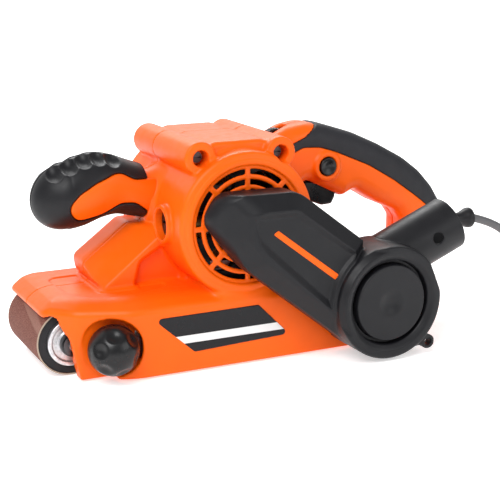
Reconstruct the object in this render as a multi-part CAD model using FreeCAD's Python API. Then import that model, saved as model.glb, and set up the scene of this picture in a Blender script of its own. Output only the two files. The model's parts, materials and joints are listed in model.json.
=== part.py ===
"""Handheld belt sander for 76 x 533 mm belts, one solid or group of solids per node.

Millimetres, +Z up, sanding face at z = 0. The tool points along -X, and its origin lies on
the sanding face, midway between the rollers and on the belt's centre plane. The drive side,
with the dust duct, faces -Y. The open side, where the belt is changed, faces +Y.
"""
import FreeCAD, Part
import math
import os

V = FreeCAD.Vector
OUT = "parts"

# ---- driving dimensions -------------------------------------------------------------------
BELT_WIDTH = 76.0
BELT_LENGTH = 533.0
BELT_THICK = 1.0
BELT_OUTER_R = 24.5
PLAY = 0.3                      # between turning or soft faces that would otherwise touch
RUNNING = 0.05                  # radial clearance of a shaft in its bearing

ROLLER_X = (BELT_LENGTH - 2 * math.pi * (BELT_OUTER_R - BELT_THICK / 2)) / 4
ROLLER_Z = BELT_OUTER_R
ROLLER_R = BELT_OUTER_R - BELT_THICK - PLAY
ROLLER_HALF = 37.0

WALL = 3.0
GRIP_WALL = 3.5
SIDE_Y = -72.0                  # outer face of the drive-side skirt
CASE_TOP = 57.0
CASE_FAR_Y = 42.0
SKIRT_BOTTOM = 1.0

MOTOR_X, MOTOR_Z = 30.0, 104.0
BARREL_R = 53.0
BARREL_NEAR, BARREL_FAR = -70.0, 52.0
BOSS_XZ = ((-3.0, 153.0), (60.0, 152.5))
BOSS_R = 12.0

MOTOR_PULLEY_R = 8.0
DRIVEN_PULLEY_R = 18.0
DRIVE_NEAR, DRIVE_FAR = -67.0, -58.0      # timing belt plane
DRIVE_BELT_THICK = 2.0

DUCT_FACE = -114.0
DUCT_BACK = -73.0
ARM_FACE, ARM_BACK = -106.0, -76.0
DUCT_END_X, DUCT_END_Z, DUCT_END_R = 125.5, 44.5, 42.5
NOZZLE_R, NOZZLE_BORE_R, NOZZLE_THROAT_R = 20.5, 18.3, 17.3
NOZZLE_BORE_DEPTH = 34.0
NOZZLE_Y, NOZZLE_TILT = -84.0, 22.5
NOZZLE_END_X, NOZZLE_END_Z = 192.5, 92.5
EAR_X, EAR_Z = 159.0, 10.0

TRIGGER_HALF = 9.0
LOCK_X, LOCK_Z, LOCK_R = 122.0, 131.0, 7.0
DIAL_X, DIAL_Z, DIAL_R = 85.0, 152.0, 9.0
CORD_EXIT_Z = 71.5
BRUSH_Y = -41.0

KNOB_X, KNOB_Z, KNOB_R = -74.0, ROLLER_Z, 18.3
LEVER_X = -20.0

CORD_R = 3.5
COIL_X, COIL_Y = 380.0, 0.0
COIL_IN_R, COIL_OUT_R, COIL_HEIGHT = 32.0, 46.0, 28.0
PLUG_X, PLUG_Y = 386.0, -28.0
CORD_ROUTE = ((274, 0, 71.5), (297, -0.6, 65.5), (317, -5, 49), (330, -13, 29),
              (343, -25, 12), (360, -37, 4.2), (382, -42.5, 3.6))


# ---- small builders -----------------------------------------------------------------------
def box(x0, x1, y0, y1, z0, z1):
    return Part.makeBox(x1 - x0, y1 - y0, z1 - z0, V(x0, y0, z0))


def rod_y(x, z, r, y0, y1):
    return Part.makeCylinder(r, y1 - y0, V(x, y0, z), V(0, 1, 0))


def ring_y(x, z, r_out, r_in, y0, y1):
    return rod_y(x, z, r_out, y0, y1).cut(rod_y(x, z, r_in, y0 - 1, y1 + 1))


def rod(start, end, r):
    direction = V(*end) - V(*start)
    return Part.makeCylinder(r, direction.Length, V(*start), direction)


def union(shapes):
    first = shapes[0]
    return first.fuse(shapes[1:]).removeSplitter() if len(shapes) > 1 else first


def rounded_wire(corners, plane):
    """Closed wire through (a, b, radius) corners; plane maps (a, b) to a point in space."""
    edges = []
    count = len(corners)
    arcs = []
    for i, (a, b, r) in enumerate(corners):
        here = V(a, b, 0)
        before = V(corners[i - 1][0], corners[i - 1][1], 0) - here
        after = V(corners[(i + 1) % count][0], corners[(i + 1) % count][1], 0) - here
        before.normalize()
        after.normalize()
        half = before.getAngle(after) / 2
        reach = r / math.tan(half)
        middle = before + after
        middle.normalize()
        arc_mid = here + middle * (r / math.sin(half) - r)
        arcs.append((here + before * reach, arc_mid, here + after * reach, r))
    for i, (start, mid, end, r) in enumerate(arcs):
        if r > 0:
            edges.append(Part.Arc(plane(start), plane(mid), plane(end)).toShape())
        following = arcs[(i + 1) % count][0]
        if (following - end).Length > 1e-6:
            edges.append(Part.LineSegment(plane(end), plane(following)).toShape())
    return Part.Wire(edges)


def grown(corners, reach):
    """The same rounded outline, moved outwards by reach, or inwards where it is negative."""
    count = len(corners)
    area = sum(corners[i - 1][0] * corners[i][1] - corners[i][0] * corners[i - 1][1]
               for i in range(count))
    way = math.copysign(1, area)
    moved = []
    for i, (a, b, r) in enumerate(corners):
        before = V(a - corners[i - 1][0], b - corners[i - 1][1], 0).normalize()
        after = V(corners[(i + 1) % count][0] - a, corners[(i + 1) % count][1] - b, 0).normalize()
        normal = V(before.y + after.y, -before.x - after.x, 0).normalize() * way
        lean = (V(before.y, -before.x, 0) * way).dot(normal)
        convex = before.cross(after).z * way > 0
        moved.append((a + normal.x * reach / lean, b + normal.y * reach / lean,
                      max(r + reach if convex else r - reach, 0.5 if r else 0)))
    return moved


def slab_y(corners, y0, y1):
    """Rounded outline in X and Z, extruded along Y."""
    wire = rounded_wire(corners, lambda p: V(p.x, y0, p.y))
    return Part.Face(wire).extrude(V(0, y1 - y0, 0))


def slab_z(corners, z0, z1):
    """Rounded outline in X and Y, extruded along Z."""
    wire = rounded_wire(corners, lambda p: V(p.x, p.y, z0))
    return Part.Face(wire).extrude(V(0, 0, z1 - z0))


def oval_loft(sections):
    """Smooth solid through upright ovals: (x, y half width, z low, z high)."""
    wires = []
    for x, half_y, low, high in sections:
        points = []
        for i in range(16):
            angle = 2 * math.pi * i / 16
            points.append(V(x, half_y * math.cos(angle),
                            (low + high) / 2 + (high - low) / 2 * math.sin(angle)))
        curve = Part.BSplineCurve()
        curve.interpolate(points, PeriodicFlag=True)
        wires.append(Part.Wire([curve.toShape()]))
    return Part.makeLoft(wires, True, False)


def belt_loop(x1, z1, r1, x2, z2, r2, y0, y1):
    """Solid hull of two circles, the space that an open belt encloses."""
    span = math.hypot(x2 - x1, z2 - z1)
    heading = math.atan2(z2 - z1, x2 - x1)
    lean = math.acos((r1 - r2) / span)
    corners = []
    for side in (1, -1):
        angle = heading + side * lean
        direction = V(math.cos(angle), 0, math.sin(angle))
        corners.append((V(x1, y0, z1) + direction * r1, V(x2, y0, z2) + direction * r2))
    (a1, a2), (b1, b2) = corners
    back = V(x1 - r1 * math.cos(heading), y0, z1 - r1 * math.sin(heading))
    front = V(x2 + r2 * math.cos(heading), y0, z2 + r2 * math.sin(heading))
    wire = Part.Wire([Part.LineSegment(a1, a2).toShape(), Part.Arc(a2, front, b2).toShape(),
                      Part.LineSegment(b2, b1).toShape(), Part.Arc(b1, back, a1).toShape()])
    return Part.Face(wire).extrude(V(0, y1 - y0, 0))


NODES = {}


def keep(name, *solids):
    shape = solids[0] if len(solids) == 1 else Part.makeCompound(list(solids))
    NODES[name] = shape


# ---- housing ------------------------------------------------------------------------------
HANDLE_OUTLINE = [(74, 120, 8), (74, 154, 8), (92, 162.5, 20), (106, 165, 30), (122, 162.6, 60),
                  (149, 154, 80), (172.5, 143.5, 80), (196.5, 130.5, 60), (212, 119, 40),
                  (224.5, 105.5, 30), (233, 92, 16), (249, 82, 8), (249, 46, 10), (180, 42, 20),
                  (112, 42, 4), (96, 84, 10)]
GAP_OUTLINE = [(101, 92, 8), (104, 121.5, 5), (140, 104, 6), (151, 109, 6), (172.5, 96.3, 30),
               (190, 88.5, 6), (196, 80, 6), (196, 61, 8), (116, 61, 6)]
RUBBER_OUTLINE = [(117, 175, 0), (117, 164, 4), (103, 154.5, 8), (91, 149.5, 3), (87, 145.5, 1.5),
                  (91, 142.5, 3), (101, 147, 10), (116, 146.3, 20), (132, 141, 40),
                  (161, 128.7, 60), (185, 114.6, 60), (205, 100.5, 20), (216, 92, 8),
                  (222, 80, 4), (240, 80, 4), (245, 110, 0), (205, 140, 0), (150, 170, 0)]
WEDGE_OUTLINE = [(-60, 52, 2), (-71, 62, 8), (-72.5, 72.5, 6), (-37.5, 98.5, 8), (0, 98.5, 2),
                 (0, 52, 2)]
CASE_SIDE = [(-118, 46, 0), (-104, 57, 14), (126, 57, 6), (126, SKIRT_BOTTOM, 4),
             (-94, SKIRT_BOTTOM, 0), (-97, 14, 0), (-100, 30, 12), (-104, 40, 6)]


def case_plan(inset):
    near = SIDE_Y + inset
    return [(-116 + inset, CASE_FAR_Y, 22), (-116 + inset, -36 + inset, 14),
            (-97 + inset, -56 + inset, 20), (-58 + inset, near, 40), (116 - inset, near, 8),
            (126 - inset, near + 12, 8), (126 - inset, CASE_FAR_Y, 0)]


def housing_solid():
    barrel = rod_y(MOTOR_X, MOTOR_Z, BARREL_R, BARREL_NEAR, BARREL_FAR)
    bosses = [rod_y(x, z, BOSS_R, -62, 42) for x, z in BOSS_XZ]
    saddle = slab_y([(-10, 130, 0), (-3, 150, 2), (8, 163, 10), (50, 163, 10), (61, 150, 2),
                     (68, 130, 0)], -56, 40)
    case = slab_z(case_plan(0), SKIRT_BOTTOM, CASE_TOP).common(slab_y(CASE_SIDE, -100, 100))
    case = case.cut(box(-130, -70, -90, -57, -5, KNOB_Z))
    wedge = slab_y(WEDGE_OUTLINE, -31, 24).cut(wedge_slope())
    handle = soft_edges(slab_y(HANDLE_OUTLINE, -19, 19), 10)
    handle = soft_edges(handle.cut(slab_y(GAP_OUTLINE, -40, 40)), 4, inside_gap)
    return union([barrel, case, wedge, handle, saddle] + bosses)


def wedge_slope():
    """What lies above the wedge's slanting near side, a plane from its crest to its eave."""
    points = [V(x, y, 92.5 + 0.79 * (x + 45) + 0.56 * y)
              for x, y in ((-90, 0), (10, 0), (10, -40), (-90, -40), (-90, 0))]
    return Part.Face(Part.makePolygon(points)).extrude(V(0, 0, 70))


def soft_edges(solid, radius, wanted=None):
    """Round the edges that lie in the slab's two side faces."""
    sides = (solid.BoundBox.YMin, solid.BoundBox.YMax)
    edges = [e for e in solid.Edges
             if any(abs(e.BoundBox.YMin - y) + abs(e.BoundBox.YMax - y) < 1e-4 for y in sides)]
    if wanted is not None:
        edges = [e for e in edges if wanted(e)]
    return solid.makeFillet(radius, edges)


def inside_gap(edge):
    box_of = edge.BoundBox
    return box_of.XMin > 100.9 and box_of.XMax < 203.1 and box_of.ZMin > 71.9


def housing_cavity():
    barrel = rod_y(MOTOR_X, MOTOR_Z, BARREL_R - WALL, BARREL_NEAR + WALL, BARREL_FAR - WALL)
    belt_room = union([box(-ROLLER_X, 122.5, -46, 60, -5, CASE_TOP - 4),
                       rod_y(-ROLLER_X, ROLLER_Z, BELT_OUTER_R + 2.5, -46, 60),
                       box(-130, -ROLLER_X, -46, 60, -5, ROLLER_Z)])
    drive_room = box(-54, 118, SIDE_Y + WALL, -40, SKIRT_BOTTOM + WALL, CASE_TOP - 4)
    axle_room = box(-130, -80, -50.5, -40, 12, 37)
    belt_way = belt_loop(MOTOR_X, MOTOR_Z, 24, ROLLER_X, ROLLER_Z, 23, SIDE_Y + WALL + 0.5, -44)
    wedge = slab_y(grown(WEDGE_OUTLINE, -WALL), -14, 21).cut(wedge_slope().translated(V(0, 0, -5)))
    grip = slab_y(grown(HANDLE_OUTLINE, -GRIP_WALL), -15.5, 15.5)
    grip = grip.cut(slab_y(grown(GAP_OUTLINE, GRIP_WALL), -30, 30))
    grip = grip.cut(box(60, 200, -30, 30, 30, 122)).cut(box(60, 250, -30, 30, 30, 55))
    return union([barrel, belt_room, drive_room, axle_room, belt_way, wedge, grip])


def arc_slots(radius, width, y0, y1, spoke, turn):
    """Eight arc-shaped slots in a ring, split by radial spokes."""
    ring = ring_y(MOTOR_X, MOTOR_Z, radius + width / 2, radius - width / 2, y0, y1)
    for i in range(4):
        bar = box(MOTOR_X - 60, MOTOR_X + 60, y0 - 1, y1 + 1, MOTOR_Z - spoke / 2,
                  MOTOR_Z + spoke / 2)
        bar.rotate(V(MOTOR_X, 0, MOTOR_Z), V(0, 1, 0), turn + 45 * i)
        ring = ring.cut(bar)
    return ring


def housing_halves():
    shell = housing_solid().cut(housing_cavity())
    openings = [arc_slots(r, 4.0, BARREL_NEAR - 1, BARREL_NEAR + WALL + 1, 4.0, 0)
                for r in (24.0, 31.0, 38.5)]
    openings += [arc_slots(r, 4.0, BARREL_FAR - WALL - 1, BARREL_FAR + 1, 4.0, 22.5)
                 for r in (24.0, 31.0, 38.5)]
    for x, z in BOSS_XZ:
        openings.append(rod_y(x, z, 6.0, -63, -50))
        openings.append(rod_y(x, z, 2.2, -50, 30))
    for side in (-1, 1):
        openings.append(rod((MOTOR_X + side * 40, BRUSH_Y, MOTOR_Z),
                            (MOTOR_X + side * 60, BRUSH_Y, MOTOR_Z), 11.0 + PLAY))
    openings.append(rod_y(KNOB_X, KNOB_Z, KNOB_R + 3, -90, -57))
    openings.append(rod_y(KNOB_X, KNOB_Z, 4 + PLAY, -90, -40))
    openings.append(slab_y(TRIGGER_SLOT, -TRIGGER_HALF - 0.5, TRIGGER_HALF + 0.5))
    openings.append(rod_y(LOCK_X, LOCK_Z, LOCK_R + 0.4, -40, -10))
    openings.append(box(DIAL_X - DIAL_R - 1, DIAL_X + DIAL_R + 1, -4, 4, DIAL_Z - DIAL_R - 1,
                        DIAL_Z + DIAL_R + 6))
    openings.append(rod((240, 0, CORD_EXIT_Z), (252, 0, CORD_EXIT_Z), 7.0))
    openings.append(slab_y(INLET_OUTLINE, SIDE_Y - 2, SIDE_Y + WALL + 1))
    shell = shell.cut(openings[0].fuse(openings[1:]))
    shell = shell.cut(rear_grip_solid())
    shell = shell.cut(front_handle_socket())
    left = shell.common(box(-300, 400, -200, 0, -50, 300))
    right = shell.common(box(-300, 400, 0, 200, -50, 300))
    keep("housing_left", biggest(left))
    keep("housing_right", biggest(right))


def biggest(shape):
    return max(shape.Solids, key=lambda s: s.Volume)


# ---- rear handle --------------------------------------------------------------------------
TRIGGER_SLOT = [(107, 100, 0), (107, 127, 0), (137, 127, 0), (137, 100, 0)]
INLET_OUTLINE = [(97, 14, 5), (97, 46, 5), (115, 46, 5), (115, 14, 5)]


def rear_grip_solid():
    """Soft pad over the top of the handle, from near the motor to the handle's heel."""
    band = slab_y(RUBBER_OUTLINE, -25, 25)
    body = slab_y(grown(HANDLE_OUTLINE, 0.7), -19.7, 19.7)
    core = slab_y(grown(HANDLE_OUTLINE, -2.3), -17.3, 17.3)
    return biggest(band.common(body).cut(core))


def rear_handle_parts():
    keep("rear_grip", rear_grip_solid())
    blade = slab_y([(108, 106, 2), (108, 118, 2), (136, 118, 2), (136, 97.5, 4), (124, 97.5, 4)],
                   -TRIGGER_HALF, TRIGGER_HALF)
    keep("trigger", blade)
    keep("switch_body", box(104, 140, -10, 10, 124, 141))
    keep("lock_button", rod_y(LOCK_X, LOCK_Z, LOCK_R, -22.5, -14))
    keep("speed_dial", rod_y(DIAL_X, DIAL_Z, DIAL_R, -3, 3))
    keep("speed_board", box(82, 102, -12, 12, 126, 128))
    relief = union([rod((241, 0, CORD_EXIT_Z), (252, 0, CORD_EXIT_Z), 6.8),
                    Part.makeCone(6.8, 5.5, 16, V(252, 0, CORD_EXIT_Z), V(1, 0, 0)),
                    Part.makeCylinder(8.5, 6, V(268, 0, CORD_EXIT_Z), V(1, 0, 0))])
    keep("strain_relief", relief)


# ---- front handle -------------------------------------------------------------------------
GRIP_SECTIONS = [(-24, 20, 101, 137), (-44, 21, 104, 147), (-64, 24, 103.5, 153.5),
                 (-84, 24.5, 99.0, 148.0), (-101, 19.5, 102.5, 138), (-110, 9, 112, 130)]
CORE_SECTIONS = [(-18, 15, 104, 133), (-50, 14, 112, 140), (-80, 14, 111, 138),
                 (-98, 10, 113, 131)]


def front_handle_socket():
    return rod((-12, 0, 117), (-30, 0, 117), 8.0)


def front_handle():
    grip = oval_loft(GRIP_SECTIONS)
    grip = grip.cut(rod_y(MOTOR_X, MOTOR_Z, BARREL_R + PLAY, -60, 60))
    core = oval_loft(CORE_SECTIONS).cut(rod_y(MOTOR_X, MOTOR_Z, BARREL_R + PLAY, -60, 60))
    spigot = rod((-14, 0, 117), (-40, 0, 117), 7.9)
    core = union([core, spigot])
    keep("front_grip", biggest(grip.cut(core)))
    keep("front_handle_core", core)


# ---- dust duct ----------------------------------------------------------------------------
DUCT_OUTLINE = [(-11, 112, 10), (2, 131.5, 14), (56, 131, 24), (110, 90, 0), (108, 30, 0),
                (93, 17, 0), (16, 78, 40)]
DUCT_INNER = [(-6, 113, 8), (4, 127.5, 11), (54, 127, 20), (104, 88, 0), (104, 30, 0),
              (92, 24, 0), (20, 82, 36)]


def nozzle_axis():
    tilt = math.radians(NOZZLE_TILT)
    direction = V(math.cos(tilt), 0, math.sin(tilt))
    end = V(NOZZLE_END_X, NOZZLE_Y, NOZZLE_END_Z)
    return end, direction


def dust_duct():
    end, direction = nozzle_axis()
    start = end - direction * 72
    disc = rod_y(DUCT_END_X, DUCT_END_Z, DUCT_END_R, DUCT_FACE, DUCT_BACK - 2)
    arm = slab_y(DUCT_OUTLINE, ARM_FACE, ARM_BACK - 2)
    outer = union([disc, arm])
    room = union([rod_y(DUCT_END_X, DUCT_END_Z, DUCT_END_R - 3, DUCT_FACE + 5, DUCT_BACK + 1),
                  slab_y(DUCT_INNER, ARM_FACE + 3, ARM_BACK + 1)])
    tube = Part.makeCylinder(NOZZLE_R, 72, start, direction)
    throat = Part.makeCylinder(NOZZLE_THROAT_R, 90, start - direction * 4, direction)
    bore = Part.makeCylinder(NOZZLE_BORE_R, 50, end - direction * NOZZLE_BORE_DEPTH, direction)
    shell = outer.cut(room)
    shell = shell.cut(Part.makeCylinder(NOZZLE_R + 0.02, 100, start, direction))
    shell = shell.cut(rod_y(DUCT_END_X, DUCT_END_Z, 28.2, DUCT_FACE - 1, DUCT_FACE + 3))
    shell = biggest(shell.cut(rod_y(DUCT_END_X, DUCT_END_Z, DUCT_END_R - 3, ARM_BACK - 1.9, -60)))
    ear = union([rod_y(EAR_X, EAR_Z, 5.5, -112, -104), box(148, EAR_X, -112, -104, 8, 16)])
    ear = ear.cut(rod_y(EAR_X, EAR_Z, 3.0, -113, -103)).cut(outer)
    keep("duct_shell", union([shell, biggest(ear)]))
    keep("duct_cap", rod_y(DUCT_END_X, DUCT_END_Z, 27.9, DUCT_FACE + 0.2, DUCT_FACE + 2.9))
    pipe = tube.cut(bore).cut(throat).cut(room)
    lock_hole = rod((NOZZLE_END_X - 22, NOZZLE_Y, NOZZLE_END_Z - 6),
                    (NOZZLE_END_X - 22, NOZZLE_Y - 40, NOZZLE_END_Z - 6), 3.7)
    keep("duct_nozzle", biggest(pipe.cut(lock_hole)))
    back = union([rod_y(DUCT_END_X, DUCT_END_Z, DUCT_END_R, DUCT_BACK - 1.9, DUCT_BACK),
                  rod_y(DUCT_END_X, DUCT_END_Z, DUCT_END_R - 3.2, ARM_BACK - 1.9, DUCT_BACK),
                  slab_y(DUCT_OUTLINE, ARM_BACK - 1.9, ARM_BACK)])
    inlet = slab_y(grown(INLET_OUTLINE, -2), -80, -60)
    back = back.cut(inlet).cut(Part.makeCylinder(NOZZLE_R + PLAY, 100, start, direction))
    screws = [(4, 118), (84, 60), (150, 30)]
    for x, z in screws:
        back = back.cut(rod_y(x, z, 2.2, -80, -60))
    keep("duct_back", biggest(back.cut(shell)))
    collar = slab_y(INLET_OUTLINE, DUCT_BACK, SIDE_Y + WALL)
    keep("dust_inlet", collar.cut(inlet))
    keep("duct_screws", *[rod_y(x, z, 2.1, DUCT_BACK - 8, DUCT_BACK - 1) for x, z in screws])


# ---- sanding unit -------------------------------------------------------------------------
def sanding_unit():
    half = BELT_WIDTH / 2
    outer = belt_loop(-ROLLER_X, ROLLER_Z, BELT_OUTER_R, ROLLER_X, ROLLER_Z, BELT_OUTER_R,
                      -half, half)
    inner_r = BELT_OUTER_R - BELT_THICK
    inner = belt_loop(-ROLLER_X, ROLLER_Z, inner_r, ROLLER_X, ROLLER_Z, inner_r,
                      -half - 1, half + 1)
    keep("sanding_belt", outer.cut(inner))
    pad_low = BELT_THICK + PLAY
    keep("platen_pad", box(-66, 66, -37, 37, pad_low, pad_low + 1.5))
    keep("platen", box(-66, 66, -37, 37, pad_low + 1.5, pad_low + 3))
    frame_low = pad_low + 3
    web = box(-55, 62, -44, 38, frame_low, 40)
    web = web.cut(box(-16, 56, -38, 34, frame_low + 5, 41))
    near = slab_y([(-50, 6, 3), (-50, 52, 6), (80, 52, 6), (109, 40, 14), (109, 8, 12)],
                  -50, -43)
    far = slab_y([(30, 10, 3), (30, 38, 3), (109, 38, 13.4), (109, 11, 13.4)], 38, 46)
    frame = union([web, near, far])
    frame = frame.cut(rod_y(ROLLER_X, ROLLER_Z, 11.0, -60, 60))
    frame = frame.cut(rod_y(LEVER_X, ROLLER_Z, 4.0, 20, 60))
    frame = frame.cut(box(-56, -4, -12.5, 12.5, 15.5, 33.5))
    keep("base_frame", biggest(frame.cut(rod_y(ROLLER_X, ROLLER_Z, ROLLER_R + 1, -38, 38))))


def front_carriage():
    x, z = -ROLLER_X, ROLLER_Z
    bar = box(-70, -64, -44.5, 43.5, 14, 35)
    arms = []
    for y0, y1 in ((-44.5, -41.0), (40.0, 43.5)):
        arms.append(union([rod_y(x, z, 9, y0, y1), box(x, -66, y0, y1, z - 9, z + 9)]))
    stem = box(-65, -30, -12, 12, 16, 33)
    yoke = union([bar, stem] + arms).cut(rod_y(x, z, 4.0, -60, 60))
    yoke = yoke.cut(rod((-40, 0, ROLLER_Z), (-20, 0, ROLLER_Z), 6.2))
    keep("roller_yoke", yoke)
    keep("front_axle", rod_y(x, z, 4.0, -49, 47))
    clips = [ring_y(x, z, 7.5, 4.0, y0, y0 + 1.0) for y0 in (-46.5, 44.5)]
    for i, clip in enumerate(clips):
        y0 = (-46.5, 44.5)[i]
        clips[i] = clip.cut(box(x - 2.5, x + 2.5, y0 - 1, y0 + 2, z - 9, z))
    keep("axle_clips", *clips)
    shell = rod_y(x, z, ROLLER_R, -ROLLER_HALF, ROLLER_HALF)
    shell = shell.cut(rod_y(x, z, 17.5, -38, -30)).cut(rod_y(x, z, 17.5, 30, 38))
    shell = shell.cut(rod_y(x, z, 6, -40, 40))
    for y0 in (-33, 26):
        shell = shell.cut(rod_y(x, z, 11.0, y0, y0 + 7))
    keep("front_roller", shell)
    keep("front_bearings", *[ring_y(x, z, 11.0, 4.0 + RUNNING, y0, y0 + 7) for y0 in (-33, 26)])
    hubs = []
    for y0, y1 in ((-40.6, -33.0), (33.0, 39.6)):
        hubs.append(ring_y(x, z, 17.3, 4.0 + 0.4, y0, y1))
    keep("roller_hubs", *hubs)
    turns = [ring_y(0, 0, 5.8, 4.2, 0, 1.2) for i in range(6)]
    coils = []
    for i, ring in enumerate(turns):
        ring.rotate(V(0, 0, 0), V(0, 0, 1), -90)
        ring.translate(V(-40 + 4.2 * i, 0, ROLLER_Z))
        coils.append(ring)
    spring = union(coils + [ring_x(-40, -16, 5.0, 4.4)])
    keep("tension_spring", spring)


def ring_x(x0, x1, r_out, r_in):
    outer = rod((x0, 0, ROLLER_Z), (x1, 0, ROLLER_Z), r_out)
    return outer.cut(rod((x0 - 1, 0, ROLLER_Z), (x1 + 1, 0, ROLLER_Z), r_in))


def tension_lever():
    tip = LEVER_X + 46
    arm = slab_y([(LEVER_X - 9, 15.5, 8.5), (LEVER_X - 9, 33.5, 8.5), (tip, 31, 5),
                  (tip, 19, 5)], 38.6, 43)
    arm = arm.cut(rod_y(LEVER_X, ROLLER_Z, 4.0 + RUNNING, 30, 50))
    thumb = slab_y([(tip - 12, 20, 2), (tip - 12, 30, 2), (tip - 1, 30, 4),
                    (tip - 1, 20, 4)], 42, 50)
    keep("tension_lever", union([arm, thumb]))
    pin = union([rod_y(LEVER_X, ROLLER_Z, 4.0, 24, 43.4), rod_y(LEVER_X, ROLLER_Z, 6.5, 43.4, 45.4)])
    keep("lever_pin", pin)


def tracking_knob():
    ball = Part.makeSphere(KNOB_R, V(KNOB_X, -69, KNOB_Z))
    ball = ball.common(rod_y(KNOB_X, KNOB_Z, 30, -90, -57))
    for i in range(6):
        angle = math.radians(60 * i + 20)
        dent = Part.makeSphere(7, V(KNOB_X + 20 * math.cos(angle), -74, KNOB_Z + 20 * math.sin(angle)))
        ball = ball.cut(dent)
    ball = ball.cut(rod_y(KNOB_X, KNOB_Z, 4.0, -66, -50))
    keep("tracking_knob", biggest(ball))
    keep("tracking_screw", rod_y(KNOB_X, KNOB_Z, 4.0, -66, -45.5))


# ---- drive --------------------------------------------------------------------------------
def drive():
    x, z = ROLLER_X, ROLLER_Z
    tube = ring_y(x, z, ROLLER_R, 18, -ROLLER_HALF, ROLLER_HALF)
    webs = [ring_y(x, z, 18, 6, y0, y0 + 6) for y0 in (-34, 28)]
    keep("drive_roller", union([tube] + webs))
    shaft = union([rod_y(x, z, 6, -42, 38), rod_y(x, z, 4, -68.5, 47)])
    keep("drive_shaft", shaft)
    keep("drive_bearings", *[ring_y(x, z, 11.0, 4.0 + RUNNING, y0, y0 + 7) for y0 in (-50, 39)])
    r = DRIVEN_PULLEY_R - PLAY
    pulley = ring_y(x, z, r, 4, DRIVE_NEAR, DRIVE_FAR)
    flanges = [ring_y(x, z, r + 1.6, 4, y0, y0 + 0.8) for y0 in (-68, -57.8)]
    keep("driven_pulley", union([pulley, rod_y(x, z, r, -67.2, -57).cut(rod_y(x, z, 4, -70, -50))]
                                + flanges))
    outer = belt_loop(MOTOR_X, MOTOR_Z, MOTOR_PULLEY_R + DRIVE_BELT_THICK, x, z,
                      DRIVEN_PULLEY_R + DRIVE_BELT_THICK, -66.8, -58.2)
    inner = belt_loop(MOTOR_X, MOTOR_Z, MOTOR_PULLEY_R, x, z, DRIVEN_PULLEY_R, -67.8, -57.2)
    belt = outer.cut(inner)
    keep("timing_belt", belt)


def motor():
    x, z = MOTOR_X, MOTOR_Z
    keep("armature_shaft", rod_y(x, z, 4, -66.8, 47.5))
    r = MOTOR_PULLEY_R - PLAY
    keep("motor_pulley", ring_y(x, z, r, 4, -66.5, -58))
    keep("motor_bearings", *[ring_y(x, z, 11.0, 4.0 + RUNNING, y0, y0 + 7) for y0 in (-56.5, 41.5)])
    plate = ring_y(x, z, BARREL_R - WALL - 0.2, 11.0, -57.4, -51.8)
    for i in range(6):
        angle = math.radians(60 * i)
        plate = plate.cut(rod_y(x + 30 * math.cos(angle), z + 30 * math.sin(angle), 10, -60, -48))
    keep("bearing_bulkhead", plate)
    far = ring_y(x, z, 14, 11.0, 41, 48.95)
    arms = [box(-48, -13, 44, 48.95, -4, 4) for i in range(4)]
    for i, arm in enumerate(arms):
        arm.rotate(V(0, 0, 0), V(0, 1, 0), 90 * i)
        arm.translate(V(x, 0, z))
    keep("bearing_spider", union([far] + arms))
    keep("commutator", ring_y(x, z, 13, 4, -48, -34))
    keep("armature_core", ring_y(x, z, 22, 4, -24, 16))
    keep("armature_winding", *[ring_y(x, z, 19, 4, y0, y1) for y0, y1 in ((-32, -24), (16, 22))])
    stator = rod_y(x, z, 44, -22, 14).cut(rod_y(x, z, 22.8, -30, 20))
    for side in (-1, 1):
        stator = stator.cut(box(x - 60, x + 60, -30, 20, z + side * 38 - 4, z + side * 38 + 4)
                            .translated(V(0, 0, side * 3)))
        stator = stator.cut(box(x + side * 30 - 5, x + side * 30 + 5, -30, 20, z - 18, z + 18))
    keep("stator_core", biggest(stator))
    keep("stator_winding", *[ring_y(x, z, 36, 24, y0, y1) for y0, y1 in ((-29, -22.1), (14.1, 20))])
    hub = ring_y(x, z, 10, 4, 26, 38)
    blades = [box(8, 36, 28, 38, -1, 1) for i in range(10)]
    for i, blade in enumerate(blades):
        blade.rotate(V(0, 0, 0), V(0, 1, 0), 36 * i)
        blade.translate(V(x, 0, z))
    disc = ring_y(x, z, 37, 4, 26, 28)
    keep("cooling_fan", union([hub, disc] + blades))
    brushes()


def brushes():
    holders, blocks, caps = [], [], []
    for side in (-1, 1):
        near, mid, far = (MOTOR_X + side * d for d in (13.1 + PLAY, 17, 44))
        holder = rod((mid, BRUSH_Y, MOTOR_Z), (far, BRUSH_Y, MOTOR_Z), 7)
        hole = box(min(near, far) - 1, max(near, far) + 1, BRUSH_Y - 3.1, BRUSH_Y + 3.1,
                   MOTOR_Z - 4.1, MOTOR_Z + 4.1)
        holders.append(holder.cut(hole))
        inner, outer = sorted((near, MOTOR_X + side * 32))
        blocks.append(box(inner, outer, BRUSH_Y - 3, BRUSH_Y + 3, MOTOR_Z - 4, MOTOR_Z + 4))
        cap = rod((far, BRUSH_Y, MOTOR_Z), (MOTOR_X + side * 51, BRUSH_Y, MOTOR_Z), 10.5)
        slot = box(-1.5, 1.5, -8, 8, -1, 1).translated(V(MOTOR_X + side * 51, BRUSH_Y, MOTOR_Z))
        caps.append(cap.cut(slot))
    keep("brush_holders", *holders)
    keep("carbon_brushes", *blocks)
    keep("brush_caps", *caps)


# ---- fasteners, plate and cord --------------------------------------------------------------
def screw_y(x, z, y_head, y_tip):
    head = rod_y(x, z, 4.0, y_head, y_head + 4)
    shank = rod_y(x, z, 2.1, y_head + 4, y_tip)
    slot = box(x - 3, x + 3, y_head - 1, y_head + 1.4, z - 0.6, z + 0.6)
    return union([head, shank]).cut(slot)


def fasteners():
    keep("housing_screws", *[screw_y(x, z, -54, 24) for x, z in BOSS_XZ])


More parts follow.
